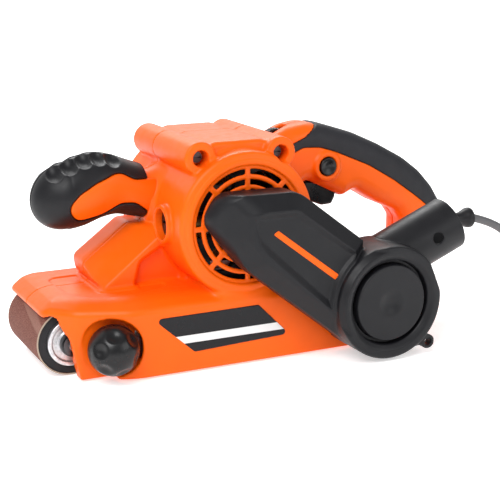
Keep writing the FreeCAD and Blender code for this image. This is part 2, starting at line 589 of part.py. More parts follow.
def name_plate():
    corners = [(-45, 43.5, 2.5), (37, 44, 2.5), (62, 18.5, 2.5), (-14, 15.5, 2.5)]
    keep("name_plate", slab_y(corners, SIDE_Y - 0.6, SIDE_Y))


def cord_path():
    """Straight runs joined by tangent arcs, each as large as its two runs allow."""
    points = [V(*p) for p in CORD_ROUTE]
    edges = []
    start = points[0]
    for i in range(1, len(points) - 1):
        before = points[i - 1] - points[i]
        after = points[i + 1] - points[i]
        turn = math.pi - before.getAngle(after)
        short = min(before.Length, after.Length)
        reach = 0.45 * short
        radius = reach / math.tan(turn / 2)
        before.normalize()
        after.normalize()
        middle = before + after
        middle.normalize()
        arc_in = points[i] + before * reach
        arc_out = points[i] + after * reach
        arc_mid = points[i] + middle * (radius / math.cos(turn / 2) - radius)
        edges.append(Part.LineSegment(start, arc_in).toShape())
        edges.append(Part.Arc(arc_in, arc_mid, arc_out).toShape())
        start = arc_out
        print("cord turn %.0f deg, radius %.1f mm" % (math.degrees(turn), radius))
    edges.append(Part.LineSegment(start, points[-1]).toShape())
    return Part.Wire(edges)


def cord():
    path = cord_path()
    first = V(*CORD_ROUTE[0])
    heading = V(*CORD_ROUTE[1]) - first
    section = Part.Wire([Part.Circle(first, heading, CORD_R).toShape()])
    tube = path.makePipeShell([section], True, True)
    coil = Part.makeCylinder(COIL_OUT_R, COIL_HEIGHT, V(COIL_X, COIL_Y, 0))
    coil = coil.cut(Part.makeCylinder(COIL_IN_R, COIL_HEIGHT + 2, V(COIL_X, COIL_Y, -1)))
    keep("cord", tube.cut(coil))
    keep("cord_coil", coil)
    print("cord tube %.0f mm3, section x length %.0f" %
          (tube.Volume, math.pi * CORD_R ** 2 * path.Length))
    keep("plug", plug_solid())


def plug_solid():
    """Flat two-pin plug, lying on the coil."""
    x, y, z = PLUG_X, PLUG_Y, COIL_HEIGHT + 8.5
    body = slab_z([(x, y - 18, 5), (x, y + 18, 5), (x + 36, y + 18, 9), (x + 36, y - 18, 9)],
                  COIL_HEIGHT, COIL_HEIGHT + 17)
    tail = Part.makeCone(5, 7, 20, V(x - 20, y, z), V(1, 0, 0))
    pins = [Part.makeCylinder(2.4, 19, V(x + 36, y + side * 9.5, z), V(1, 0, 0))
            for side in (-1, 1)]
    return union([body, tail] + pins)


def main():
    os.makedirs(OUT, exist_ok=True)
    housing_halves()
    rear_handle_parts()
    front_handle()
    dust_duct()
    sanding_unit()
    front_carriage()
    tension_lever()
    tracking_knob()
    drive()
    motor()
    fasteners()
    name_plate()
    cord()
    for name, shape in NODES.items():
        shape.exportStep("%s/%s.step" % (OUT, name))
        if not shape.isValid():
            print("not valid:", name)
    print(len(NODES), "nodes")


main()
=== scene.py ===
import json
import math

import bpy
import numpy as np
import openvdb
from mathutils import Matrix, Vector


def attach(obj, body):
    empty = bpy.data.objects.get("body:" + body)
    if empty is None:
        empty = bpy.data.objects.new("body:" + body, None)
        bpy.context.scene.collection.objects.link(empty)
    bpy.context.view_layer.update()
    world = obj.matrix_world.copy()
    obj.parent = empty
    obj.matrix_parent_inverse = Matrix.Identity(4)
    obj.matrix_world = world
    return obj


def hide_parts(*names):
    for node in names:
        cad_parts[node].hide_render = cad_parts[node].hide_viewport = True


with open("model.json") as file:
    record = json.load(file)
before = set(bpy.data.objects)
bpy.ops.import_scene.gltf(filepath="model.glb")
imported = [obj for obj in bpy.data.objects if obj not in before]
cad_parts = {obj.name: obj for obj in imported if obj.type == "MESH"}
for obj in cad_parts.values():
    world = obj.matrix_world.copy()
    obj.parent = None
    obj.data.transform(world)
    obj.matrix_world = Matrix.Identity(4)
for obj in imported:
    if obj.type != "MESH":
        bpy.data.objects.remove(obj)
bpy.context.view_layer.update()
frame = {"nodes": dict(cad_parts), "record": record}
scene = bpy.context.scene
MM = 0.001


# ---- camera, light and floor -------------------------------------------------------------------
CAMERA_TURN, CAMERA_RISE = -25.8, 14.23
CAMERA_PLACE = (-0.344745, -0.847323, 0.304236)
LENS = 89.018


def make_camera():
    azimuth, height = math.radians(CAMERA_TURN), math.radians(CAMERA_RISE)
    right = Vector((math.cos(azimuth), math.sin(azimuth), 0))
    back = Vector((math.sin(azimuth) * math.cos(height), -math.cos(azimuth) * math.cos(height),
                   math.sin(height)))
    up = back.cross(right)
    data = bpy.data.cameras.new("camera")
    data.sensor_width = 36
    data.lens = LENS
    data.clip_start, data.clip_end = 0.02, 50
    camera = bpy.data.objects.new("camera", data)
    turn = Matrix((right, up, back)).transposed().to_4x4()
    camera.matrix_world = Matrix.Translation(CAMERA_PLACE) @ turn
    scene.collection.objects.link(camera)
    scene.camera = camera


def area_light(name, place, target, size, power):
    data = bpy.data.lights.new(name, "AREA")
    data.shape = "RECTANGLE"
    data.size, data.size_y = size
    data.energy = power
    lamp = bpy.data.objects.new(name, data)
    lamp.location = place
    lamp.rotation_mode = "QUATERNION"
    lamp.rotation_quaternion = (Vector(target) - Vector(place)).to_track_quat("-Z", "Y")
    scene.collection.objects.link(lamp)


def make_studio():
    world = bpy.data.worlds.new("studio")
    world.use_nodes = True
    background = world.node_tree.nodes["Background"]
    background.inputs["Color"].default_value = (1, 1, 1, 1)
    background.inputs["Strength"].default_value = 0.42
    scene.world = world
    area_light("key", (-0.9, -0.9, 1.3), (0.0, 0, 0.08), (0.9, 0.9), 21)
    area_light("fill", (0.9, -1.2, 0.7), (0.1, 0, 0.08), (1.0, 0.7), 5)
    area_light("rim", (0.3, 1.1, 1.2), (0.05, 0, 0.1), (1.2, 0.6), 15)


def make_floor():
    """Floor that curves up into a back wall."""
    mesh = bpy.data.meshes.new("studio_floor")
    reach, far, bend, drop = 6, 3.5, 1.5, 0.0004
    rows = [(-reach, 0.0), (far - bend, 0.0)]
    for a in range(10, 91, 10):
        turn = math.radians(a)
        rows.append((far - bend + bend * math.sin(turn), bend - bend * math.cos(turn)))
    rows.append((far, 6.0))
    points = [(x, y, z - drop) for y, z in rows for x in (-reach, reach)]
    mesh.from_pydata(points, [], [(2 * i, 2 * i + 1, 2 * i + 3, 2 * i + 2)
                                  for i in range(len(rows) - 1)])
    floor = bpy.data.objects.new("studio_floor", mesh)
    material = bpy.data.materials.new("floor_paper")
    material.use_nodes = True
    shader = material.node_tree.nodes["Principled BSDF"]
    shader.inputs["Base Color"].default_value = (0.93, 0.93, 0.93, 1)
    shader.inputs["Roughness"].default_value = 0.9
    shader.inputs["Emission Color"].default_value = (1, 1, 1, 1)
    shader.inputs["Emission Strength"].default_value = 0.5
    mesh.materials.append(material)
    scene.collection.objects.link(floor)


make_camera()
make_studio()
make_floor()
scene.view_settings.view_transform = "Standard"


# ---- materials ---------------------------------------------------------------------------------
class Look:
    """A node material under construction, on object coordinates in metres."""

    def __init__(self, name, colour, roughness, metallic=0.0, specular=0.5):
        self.material = bpy.data.materials.new(name)
        self.material.use_nodes = True
        self.tree = self.material.node_tree
        self.shader = self.tree.nodes["Principled BSDF"]
        self.shader.inputs["Base Color"].default_value = (*colour, 1)
        self.shader.inputs["Roughness"].default_value = roughness
        self.shader.inputs["Metallic"].default_value = metallic
        self.shader.inputs["Specular IOR Level"].default_value = specular
        self.place = self.node("ShaderNodeTexCoord").outputs["Object"]
        self.height = None

    def node(self, kind, **values):
        made = self.tree.nodes.new(kind)
        for key, value in values.items():
            setattr(made, key, value)
        return made

    def link(self, out, into):
        self.tree.links.new(out, into)

    def stretched(self, scale):
        mapping = self.node("ShaderNodeMapping")
        mapping.inputs["Scale"].default_value = scale
        self.link(self.place, mapping.inputs["Vector"])
        return mapping.outputs["Vector"]

    def noise(self, scale, detail=3.0, stretch=(1, 1, 1)):
        made = self.node("ShaderNodeTexNoise")
        made.inputs["Scale"].default_value = scale
        made.inputs["Detail"].default_value = detail
        made.inputs["Roughness"].default_value = 0.55
        self.link(self.stretched(stretch), made.inputs["Vector"])
        return made.outputs["Fac"]

    def cells(self, scale):
        made = self.node("ShaderNodeTexVoronoi")
        made.inputs["Scale"].default_value = scale
        self.link(self.place, made.inputs["Vector"])
        return made.outputs["Distance"]

    def ramp(self, value, stops):
        made = self.node("ShaderNodeValToRGB")
        ramp = made.color_ramp
        while len(ramp.elements) < len(stops):
            ramp.elements.new(0.5)
        for element, (at, colour) in zip(ramp.elements, stops):
            element.position = at
            element.color = (*colour, 1)
        self.link(value, made.inputs["Fac"])
        return made.outputs["Color"]

    def span(self, value, low, high, to_low, to_high):
        made = self.node("ShaderNodeMapRange")
        for key, number in (("From Min", low), ("From Max", high), ("To Min", to_low),
                            ("To Max", to_high)):
            made.inputs[key].default_value = number
        self.link(value, made.inputs["Value"])
        return made.outputs["Result"]

    def math(self, operation, first, second=None):
        made = self.node("ShaderNodeMath", operation=operation)
        for socket, value in zip(made.inputs, (first, second)):
            if value is None:
                continue
            if isinstance(value, float):
                socket.default_value = value
            else:
                self.link(value, socket)
        return made.outputs[0]

    def blend(self, share, first, colour):
        """First, turning into a plain colour as share goes to 1."""
        made = self.node("ShaderNodeMix", data_type="RGBA")
        self.link(share, made.inputs["Factor"])
        self.link(first, made.inputs[6])
        made.inputs[7].default_value = (*colour, 1)
        return made.outputs[2]

    def axes(self):
        apart = self.node("ShaderNodeSeparateXYZ")
        self.link(self.place, apart.inputs["Vector"])
        return apart.outputs

    def colour(self, out):
        self.link(out, self.shader.inputs["Base Color"])

    def roughness(self, out):
        self.link(out, self.shader.inputs["Roughness"])

    def bump(self, height, distance, strength=1.0):
        made = self.node("ShaderNodeBump")
        made.inputs["Strength"].default_value = strength
        made.inputs["Distance"].default_value = distance
        self.link(height, made.inputs["Height"])
        if self.height is not None:
            self.link(self.height, made.inputs["Normal"])
        self.height = made.outputs["Normal"]
        self.link(self.height, self.shader.inputs["Normal"])


def moulded(name, colour, roughness, grain=1500, depth=0.00006, specular=0.4, drift=0.12):
    """Moulded plastic or rubber: fine eroded texture, slow colour drift, uneven gloss."""
    look = Look(name, colour, roughness, specular=specular)
    slow = look.noise(35, 3)
    dark = tuple(c * (1 - drift) for c in colour)
    look.colour(look.ramp(slow, [(0.35, dark), (0.65, colour)]))
    look.roughness(look.span(look.noise(140, 4), 0.3, 0.7, roughness - 0.05, roughness + 0.07))
    look.bump(look.noise(grain, 3), depth, 0.5)
    look.bump(look.noise(22, 2), 0.0006, 0.12)
    return look


def metal(name, colour, roughness, stretch=(1, 60, 1), grain=60):
    """Turned, drawn or cast metal, with fine marks along one direction."""
    look = Look(name, colour, roughness, 1.0)
    marks = look.noise(grain, 4, stretch)
    dark = tuple(c * 0.7 for c in colour)
    look.colour(look.ramp(marks, [(0.3, dark), (0.65, colour)]))
    look.roughness(look.span(marks, 0.25, 0.75, roughness + 0.15, roughness - 0.05))
    look.bump(marks, 0.00005, 0.5)
    return look


SPLICE_SLANT = -0.17
SPLICE_LOW, SPLICE_HIGH = 0.0386, 0.0446
CLOTH_EDGE = 0.03745


def grit_cloth():
    """Sanding cloth: brown-red grains on resin, with the lighter slanted splice and pale edges."""
    look = Look("grit_cloth", (0.2, 0.07, 0.05), 0.85, specular=0.25)
    grains = look.cells(1500)
    fine = look.noise(2600, 4)
    tone = look.math("MULTIPLY", look.span(grains, 0.0, 0.6, 0.0, 1.0), fine)
    grit = look.ramp(tone, [(0.08, (0.06, 0.016, 0.012)), (0.3, (0.15, 0.048, 0.034)),
                            (0.6, (0.28, 0.12, 0.09))])
    axes = look.axes()
    slant = look.math("MULTIPLY", axes["Y"], SPLICE_SLANT)
    across = look.math("ADD", slant, axes["Z"])
    low = look.span(across, SPLICE_LOW - 0.0004, SPLICE_LOW + 0.0004, 0.0, 1.0)
    high = look.span(across, SPLICE_HIGH + 0.0004, SPLICE_HIGH - 0.0004, 0.0, 1.0)
    front = look.span(axes["X"], -0.0950, -0.0955, 0.0, 1.0)
    band = look.math("MULTIPLY", look.math("MULTIPLY", low, high), front)
    spliced = look.blend(look.math("MULTIPLY", band, 0.55), grit, (0.33, 0.18, 0.14))
    rim = look.span(look.math("ABSOLUTE", axes["Y"]), CLOTH_EDGE, CLOTH_EDGE + 0.00025, 0.0, 1.0)
    look.colour(look.blend(rim, spliced, (0.45, 0.36, 0.28)))
    look.bump(grains, 0.0004, 0.8)
    look.bump(fine, 0.0002, 0.5)
    return look


STRIPE_LOW, STRIPE_HIGH = 0.02285, 0.02865


def plate_film():
    """Black printed film with one plain pale stripe."""
    look = Look("plate_film", (0.02, 0.02, 0.022), 0.32, specular=0.3)
    height = look.axes()["Z"]
    low = look.span(height, STRIPE_LOW - 0.00005, STRIPE_LOW + 0.00005, 0.0, 1.0)
    high = look.span(height, STRIPE_HIGH + 0.00005, STRIPE_HIGH - 0.00005, 0.0, 1.0)
    stripe = look.math("MULTIPLY", low, high)
    look.colour(look.ramp(stripe, [(0.3, (0.007, 0.007, 0.009)), (0.7, (0.80, 0.80, 0.80))]))
    look.roughness(look.span(look.noise(300, 3), 0.3, 0.7, 0.26, 0.4))
    look.bump(look.noise(500, 3), 0.00004, 0.4)
    return look


def windings():
    look = Look("copper_wire", (0.55, 0.2, 0.07), 0.3, 1.0)
    wave = look.node("ShaderNodeTexWave", bands_direction="X")
    wave.inputs["Scale"].default_value = 260
    wave.inputs["Distortion"].default_value = 2.5
    look.link(look.place, wave.inputs["Vector"])
    look.colour(look.ramp(wave.outputs["Fac"], [(0.2, (0.20, 0.06, 0.02)), (0.8, (0.6, 0.23, 0.08))]))
    look.bump(wave.outputs["Fac"], 0.0003, 0.8)
    return look


def circuit():
    look = Look("circuit_board", (0.02, 0.12, 0.04), 0.4)
    look.colour(look.ramp(look.cells(400), [(0.3, (0.015, 0.09, 0.03)), (0.6, (0.05, 0.2, 0.08))]))
    look.bump(look.cells(500), 0.0002, 0.5)
    return look


MATERIALS = {
    "orange_shell": moulded("orange_abs", (0.97, 0.125, 0.002), 0.36, 1300, 0.00004, 0.22, 0.06),
    "black_shell": moulded("black_nylon", (0.008, 0.008, 0.010), 0.42, 1300, 0.00008, 0.30),
    "grip_rubber": moulded("soft_rubber", (0.016, 0.016, 0.020), 0.58, 1900, 0.00012, 0.35),
    "black_control": moulded("black_acetal", (0.005, 0.005, 0.006), 0.30, 1600, 0.00003, 0.4),
    "plate_film": plate_film(),
    "grit_cloth": grit_cloth(),
    "steel": metal("bright_steel", (0.62, 0.62, 0.64), 0.22),
    "dark_steel": metal("black_oxide_steel", (0.10, 0.10, 0.105), 0.35),
    "cast_alloy": metal("cast_alloy", (0.80, 0.80, 0.82), 0.36, (1, 1, 1), 500),
    "roller_rubber": moulded("roller_rubber", (0.022, 0.022, 0.024), 0.66, 900, 0.0002, 0.3),
    "copper": windings(),
    "laminate": metal("laminate", (0.30, 0.30, 0.32), 0.45, (1, 900, 1), 2),
    "carbon": moulded("brush_carbon", (0.03, 0.03, 0.032), 0.5, 900, 0.0001),
    "brass": metal("brass", (0.72, 0.50, 0.20), 0.3),
    "belt_rubber": moulded("drive_belt_rubber", (0.02, 0.02, 0.02), 0.7, 700, 0.0002, 0.3),
    "graphite_cloth": moulded("graphite_cloth", (0.06, 0.06, 0.065), 0.7, 800, 0.0003, 0.3),
    "circuit_board": circuit(),
    "cord_jacket": moulded("cord_pvc", (0.11, 0.11, 0.115), 0.45, 900, 0.00008, 0.4),
    "plug_body": moulded("plug_pvc", (0.02, 0.02, 0.022), 0.42, 1200, 0.00008, 0.4),
}
LOOKS = {slot: look.material for slot, look in MATERIALS.items()}


# ---- cord, coil and plug -----------------------------------------------------------------------
CORD_R = 3.5
CORD_ROUTE = ((274, 0, 71.5), (297, -0.6, 65.5), (317, -5, 49), (330, -13, 29), (343, -25, 12),
              (360, -37, 4.2))
COIL_X, COIL_Y = 380.0, 0.0
COIL_RADII = (42.5, 35.5)
LAYERS = (3.6, 10.6, 17.6, 24.4)
TURNS, TURN_POINTS = 7, 16
STEP_POINTS = 4


def coil_point(degrees, radius, level):
    angle = math.radians(degrees)
    return (COIL_X + radius * math.cos(angle), COIL_Y + radius * math.sin(angle), level)


def coil_points():
    """Turns beside and on each other: outer turn, step in, inner turn, step up, and so on."""
    turns = []
    for i, z in enumerate(LAYERS):
        pair = COIL_RADII if i % 2 == 0 else COIL_RADII[::-1]
        turns += [(r, z) for r in pair]
    turns = turns[:TURNS] + [(COIL_RADII[0], LAYERS[-1])]
    points = []
    for (r, z), (next_r, next_z) in zip(turns, turns[1:]):
        for k in range(TURN_POINTS):
            ease = max(0.0, (k - TURN_POINTS + STEP_POINTS) / STEP_POINTS)
            points.append(coil_point(-90 + 360 * k / TURN_POINTS, r + (next_r - r) * ease,
                                     z + (next_z - z) * ease))
    return points


def nurbs_tube(name, points, radius):
    data = bpy.data.curves.new(name, "CURVE")
    data.dimensions = "3D"
    data.bevel_depth = radius * MM
    data.bevel_resolution = 5
    data.resolution_u = 6
    data.use_fill_caps = True
    spline = data.splines.new("NURBS")
    spline.points.add(len(points) - 1)
    for point, (x, y, z) in zip(spline.points, points):
        point.co = (x * MM, y * MM, z * MM, 1)
    spline.order_u = 3
    spline.use_endpoint_u = True
    made = bpy.data.objects.new(name, data)
    scene.collection.objects.link(made)
    return made


# ---- solids as distance fields -----------------------------------------------------------------
class Space:
    """A block of space sampled in millimetres; a solid is its signed distance, inside negative."""

    def __init__(self, low, high, step):
        self.low, self.step = low, step
        axes = [np.arange(a, b + step, step, dtype=np.float32) for a, b in zip(low, high)]
        self.x = axes[0][:, None, None]
        self.y = axes[1][None, :, None]
        self.z = axes[2][None, None, :]
        self.shape = tuple(len(axis) for axis in axes)


def rounded(corners, steps=6):
    """Points round an outline whose (a, b, radius) corners are rounded off."""
    points = []
    for i, (a, b, r) in enumerate(corners):
        here = Vector((a, b))
        before = (Vector(corners[i - 1][:2]) - here).normalized()
        after = (Vector(corners[(i + 1) % len(corners)][:2]) - here).normalized()
        if r == 0:
            points.append((a, b))
            continue
        half = before.angle(after) / 2
        centre = here + (before + after).normalized() * (r / math.sin(half))
        start = here + before * (r / math.tan(half)) - centre
        end = here + after * (r / math.tan(half)) - centre
        sweep = start.angle_signed(end)
        for k in range(steps + 1):
            turn = Matrix.Rotation(-sweep * k / steps, 2)
            points.append(tuple(centre + turn @ start))
    return points


def outline(u, v, points):
    """Signed distance to a closed polygon in the plane of u and v."""
    nearest = np.float32(1e9)
    inside = np.zeros(np.broadcast_shapes(u.shape, v.shape), bool)
    for i, (bx, by) in enumerate(points):
        ax, ay = points[i - 1]
        ex, ey = bx - ax, by - ay
        length = ex * ex + ey * ey
        if length < 1e-9:
            continue
        t = np.clip(((u - ax) * ex + (v - ay) * ey) / length, 0, 1)
        nearest = np.minimum(nearest, (u - ax - ex * t) ** 2 + (v - ay - ey * t) ** 2)
        if ay != by:
            crossing = (v >= min(ay, by)) & (v < max(ay, by))
            inside ^= crossing & (u < ax + (v - ay) * (ex / ey))
    return np.where(inside, -1, 1) * np.sqrt(nearest)


def meet(a, b, edge=0.6):
    """Common part, with its new convex edges rounded."""
    corner = np.sqrt(np.maximum(a + edge, 0) ** 2 + np.maximum(b + edge, 0) ** 2)
    return np.minimum(np.maximum(a, b), -edge) + corner


def join(a, b, fillet=0.6):
    return -meet(-a, -b, fillet)


def cut(a, b, edge=0.6):
    return meet(a, -b, edge)


def slab(flat, across, low, high, edge=0.8):
    """Flat outline given thickness from low to high, both rims rounded."""
    return meet(flat, np.abs(across - (low + high) / 2) - (high - low) / 2, edge)


def circle(u, v, a, b, r):
    return np.hypot(u - a, v - b) - r


def block(s, low, high, edge=0.8):
    d = [np.abs(axis - (a + b) / 2) - (b - a) / 2 for axis, a, b in zip((s.x, s.y, s.z), low, high)]
    return meet(meet(d[0], d[2], edge), d[1], edge)


def rod(s, start, end, r, edge=0.8):
    """Cylinder between two points."""
    start, end = Vector(start), Vector(end)
    axis = (end - start).normalized()
    dx, dy, dz = s.x - start.x, s.y - start.y, s.z - start.z
    along = dx * axis.x + dy * axis.y + dz * axis.z
    off = np.sqrt(np.maximum(dx * dx + dy * dy + dz * dz - along * along, 0))
    length = (end - start).length
    return meet(off - r, np.abs(along - length / 2) - length / 2, edge)


def ball(s, centre, radii):
    """Ellipsoid, near enough a distance for cuts and joins."""
    if isinstance(radii, (int, float)):
        radii = (radii,) * 3
    scaled = np.sqrt(((s.x - centre[0]) / radii[0]) ** 2 + ((s.y - centre[1]) / radii[1]) ** 2
                     + ((s.z - centre[2]) / radii[2]) ** 2)
    return (scaled - 1) * min(radii)


def curve(points, at):
    """Smooth curve through (position, value) points."""
    xs = np.array([p[0] for p in points], float)
    ys = np.array([p[1] for p in points], float)
    slopes = np.gradient(ys, xs)
    i = np.clip(np.searchsorted(xs, at) - 1, 0, len(xs) - 2)
    gap = xs[i + 1] - xs[i]
    t = np.clip((at - xs[i]) / gap, 0, 1)
    return ((1 + 2 * t) * (1 - t) ** 2 * ys[i] + t * (1 - t) ** 2 * gap * slopes[i]
            + t * t * (3 - 2 * t) * ys[i + 1] + t * t * (t - 1) * gap * slopes[i + 1])


def to_mesh(name, s, field, body, material, stands_for, keep=None):
    """Skin of the solid as a smooth quad mesh; keep is the share of faces left."""
    grid = openvdb.FloatGrid(background=10.0)
    grid.copyFromArray(np.array(np.broadcast_to(field, s.shape), dtype=np.float32))
    points, quads = grid.convertToQuads(isovalue=0.0)
    points = (np.asarray(points) * s.step + np.array(s.low)) * MM
    quads = np.asarray(quads)[:, ::-1]
    mesh = bpy.data.meshes.new(name)
    mesh.vertices.add(len(points))
    mesh.vertices.foreach_set("co", points.astype(np.float32).ravel())
    mesh.loops.add(quads.size)
    mesh.loops.foreach_set("vertex_index", quads.astype(np.int32).ravel())
    mesh.polygons.add(len(quads))
    mesh.polygons.foreach_set("loop_start", np.arange(0, quads.size, 4, dtype=np.int32))
    mesh.update(calc_edges=True)
    mesh.validate()
    made = bpy.data.objects.new(name, mesh)
    scene.collection.objects.link(made)
    if keep:
        thin = made.modifiers.new("thin", "DECIMATE")
        thin.ratio = keep
        graph = bpy.context.evaluated_depsgraph_get()
        made.data = bpy.data.meshes.new_from_object(made.evaluated_get(graph))
        made.modifiers.clear()
    made.data.polygons.foreach_set("use_smooth", [True] * len(made.data.polygons))
    finish_piece(made, body, material, stands_for)
    return made


def finish_piece(made, body, material, stands_for):
    made.data.materials.append(material)
    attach(made, body)
    if stands_for:
        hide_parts(*stands_for)


# ---- housing -----------------------------------------------------------------------------------
BARREL = (30.0, 104.0, 53.0)
BRUSH_Y = -41
FRONT_AXLE = (-95.55, 24.5)
GAP = 0.04
HANDLE = [(74, 120, 8), (74, 154, 8), (92, 162.5, 20), (106, 165, 30), (122, 162.6, 60),
          (149, 154, 80), (172.5, 143.5, 80), (196.5, 130.5, 60), (212, 119, 40),
          (224.5, 105.5, 30), (233, 92, 16), (249, 82, 8), (249, 46, 10), (180, 42, 20),
          (112, 42, 4), (96, 84, 10)]
HANDLE_GAP = [(101, 92, 8), (104, 121.5, 5), (140, 104, 6), (151, 109, 6), (172.5, 96.3, 30),
              (190, 88.5, 6), (196, 80, 6), (196, 61, 8), (116, 61, 6)]
WEDGE = [(-60, 50, 2), (-71, 62, 8), (-72.5, 72.5, 6), (-37.5, 98.5, 8), (0, 98.5, 2), (0, 50, 2)]
POCKET = [(-44.5, 40, 0), (-43, 58, 4), (-38.5, 75, 7), (-19, 86.5, 5), (-4, 80, 0), (-4, 40, 0)]
CASE_SIDE = [(-118, 46, 0), (-106, 60, 6), (126, 60, 0), (126, 1, 4), (-94, 1, 0), (-97, 14, 0),
             (-100, 30, 12), (-105.5, 40, 6)]
CASE_PLAN = [(-116, 90, 0), (-116, -36, 14), (-97, -56, 20), (-58, -72, 40), (116, -72, 8),
             (126, -60, 8), (126, 90, 0)]
DISH = [(-96, 20, 10), (-93, -22, 16), (-78, -46, 16), (-48, -49, 16), (-20, -38, 10), (-20, 20, 0)]
BOSSES = ((-3.0, 153.0), (60.0, 152.5))
KNOB = (-74.0, 24.5, 18.3)
LOCK = (122.0, 131.0, 7.0)
DIAL = (85.0, 152.0, 8.8)
CORD_Z = 71.5
SADDLE = [(-10, 130, 0), (-3, 150, 2), (8, 163, 10), (50, 163, 10), (61, 150, 2), (68, 130, 0)]
VENT_RADII = (24.0, 31.0, 38.5)
SLOT_HALF, SPOKE_HALF = 2.0, 2.0
HOUSING_STEP, HOUSING_KEEP = ((0.9, 0.45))


def handle_outline(s):
    whole = outline(s.x, s.z, rounded(HANDLE))
    return meet(whole, -outline(s.x, s.z, rounded(HANDLE_GAP)), 1)


def barrel(s, radius):
    return circle(s.x, s.z, BARREL[0], BARREL[1], radius)


def brush_rod(s, side, start, end, radius, edge):
    """Round bar along X through a brush cap, from start to end away from the barrel's axis."""
    return rod(s, (BARREL[0] + side * start, BRUSH_Y, BARREL[1]),
               (BARREL[0] + side * end, BRUSH_Y, BARREL[1]), radius, edge)


def hood_bevel(s):
    """Slanting shoulder that runs round the hood's edge."""
    plan = outline(s.x, s.y, rounded(CASE_PLAN))
    return 0.45 * plan + 0.893 * (s.z - 50.5)


def hood(s):
    """Skirt and belt hood, open at the bottom and the far side."""
    body = meet(outline(s.x, s.y, rounded(CASE_PLAN)), outline(s.x, s.z, rounded(CASE_SIDE)), 1.5)
    body = meet(body, s.z - 57, 2)
    body = meet(body, hood_bevel(s), 3)
    body = meet(body, s.y - 42, 3)
    low_step = np.maximum(np.maximum(s.x + 70, s.z - 24.5), s.y + 57)
    return cut(body, low_step, 1.5)


def wedge_body(s):
    """Wedge under the front handle: a roof with a scoop in its near side."""
    wedge = slab(outline(s.x, s.z, rounded(WEDGE)), s.y, -31, 24, 1.5)
    slope = 0.72 * (s.z - 92.5) - 0.57 * (s.x + 45) - 0.40 * s.y
    scoop = slab(outline(s.x, s.z, rounded(POCKET)), s.y, -60, -24, 4)
    return cut(meet(wedge, slope, 1.5), scoop, 2.5)


def housing_outer(s):
    solid = join(slab(barrel(s, BARREL[2]), s.y, -70, 52, 3.5),
                 slab(barrel(s, 47.5), s.y, -71.2, -60, 1), 1.5)
    solid = cut(solid, slab(barrel(s, 43.5), s.y, -80, -69.4, 0.4), 0.8)
    solid = join(solid, hood(s), 7)
    wedge = wedge_body(s)
    solid = join(solid, wedge, 3)
    around = np.minimum(slab(barrel(s, BARREL[2] + 7), s.y, -80, 60, 3), wedge - 1.5)
    dish = outline(s.x, s.y, rounded(DISH))
    solid = np.maximum(solid, -np.maximum(np.maximum(dish, 55.7 - s.z), 2.0 - around))
    solid = join(solid, slab(outline(s.x, s.z, rounded(SADDLE)), s.y, -56, 40, 4), 4)
    for x, z in BOSSES:
        solid = join(solid, slab(circle(s.x, s.z, x, z, 12.0), s.y, -62, 42, 2), 3)
    solid = join(solid, slab(handle_outline(s), s.y, -19, 19, 12), 5)
    ring = slab(circle(s.x, s.z, LOCK[0], LOCK[1], 11.5), s.y, -21.5, -10, 1.2)
    solid = join(solid, ring, 2.5)
    for side in (-1, 1):
        solid = join(solid, brush_rod(s, side, 42, 56.8, 14.2, 1.8), 1.5)
    flare = 20.0 + 0.02 * np.maximum(s.x + 26, 0) ** 2
    socket = meet(np.hypot(s.y, s.z - 117.5) - flare, np.abs(s.x + 18) - 7.5, 1.5)
    return join(solid, socket, 4)


def housing_inner(s):
    """Hollow of the barrel, the belt's room, the drive's room and the rear handle."""
    under_hood = hood_bevel(s) + 3
    room = slab(barrel(s, 50), s.y, -67, 49, 1)
    for part in (np.maximum(block(s, (-95.5, -46, -5), (122.5, 60, 53)), under_hood),
                 slab(circle(s.x, s.z, *FRONT_AXLE, 27), s.y, -46, 60, 8),
                 block(s, (-130, -46, -5), (-95.5, 60, 24.5)),
                 np.maximum(block(s, (-54, -69, 4), (118, -40, 53)), under_hood),
                 block(s, (-104, -49.8, 16.2), (-79, -40, 32.8))):
        room = np.minimum(room, part)
    grip = slab(handle_outline(s) + 3.5, s.y, -15.5, 15.5, 8)
    solid_part = np.minimum(120 - s.z, np.maximum(198 - s.x, 54 - s.z))
    return np.minimum(room, np.maximum(grip, solid_part))


def vents(s, low, high, turn=0.0):
    """Arc slots in rings, split by eight spokes."""
    dx, dz = s.x - BARREL[0], s.z - BARREL[1]
    rings = np.minimum.reduce([np.abs(np.hypot(dx, dz) - r) - SLOT_HALF for r in VENT_RADII])
    for i in range(4):
        angle = math.radians(45 * i + turn)
        spoke = np.abs(dx * math.cos(angle) + dz * math.sin(angle))
        rings = np.maximum(rings, SPOKE_HALF - spoke)
    return slab(rings, s.y, low, high, 0.3)


def housing_openings(s):
    """Vents, screw tunnels, brush caps, knob, trigger, button, dial, cord and dust inlet."""
    holes = [vents(s, -75, -64), vents(s, 47, 56, 22.5)]
    holes += [slab(circle(s.x, s.z, x, z, 6.0), s.y, -70, -50) for x, z in BOSSES]
    holes += [brush_rod(s, side, 40, 60, 11.2, 0.3) for side in (-1, 1)]
    holes.append(slab(circle(s.x, s.z, KNOB[0], KNOB[1], 21.5), s.y, -95, -57, 3))
    holes.append(slab(circle(s.x, s.z, KNOB[0], KNOB[1], 4.3), s.y, -95, -40))
    holes.append(block(s, (107, -9.5, 92), (137, 9.5, 127)))
    holes.append(slab(circle(s.x, s.z, LOCK[0], LOCK[1], 7.6), s.y, -40, -10))
    holes.append(block(s, (DIAL[0] - 10, -3.8, 142), (DIAL[0] + 10, 3.8, 175)))
    holes.append(rod(s, (235, 0, CORD_Z), (256, 0, CORD_Z), 7.2))
    holes.append(block(s, (97, -76, 14), (115, -60, 46), 3))
    return holes


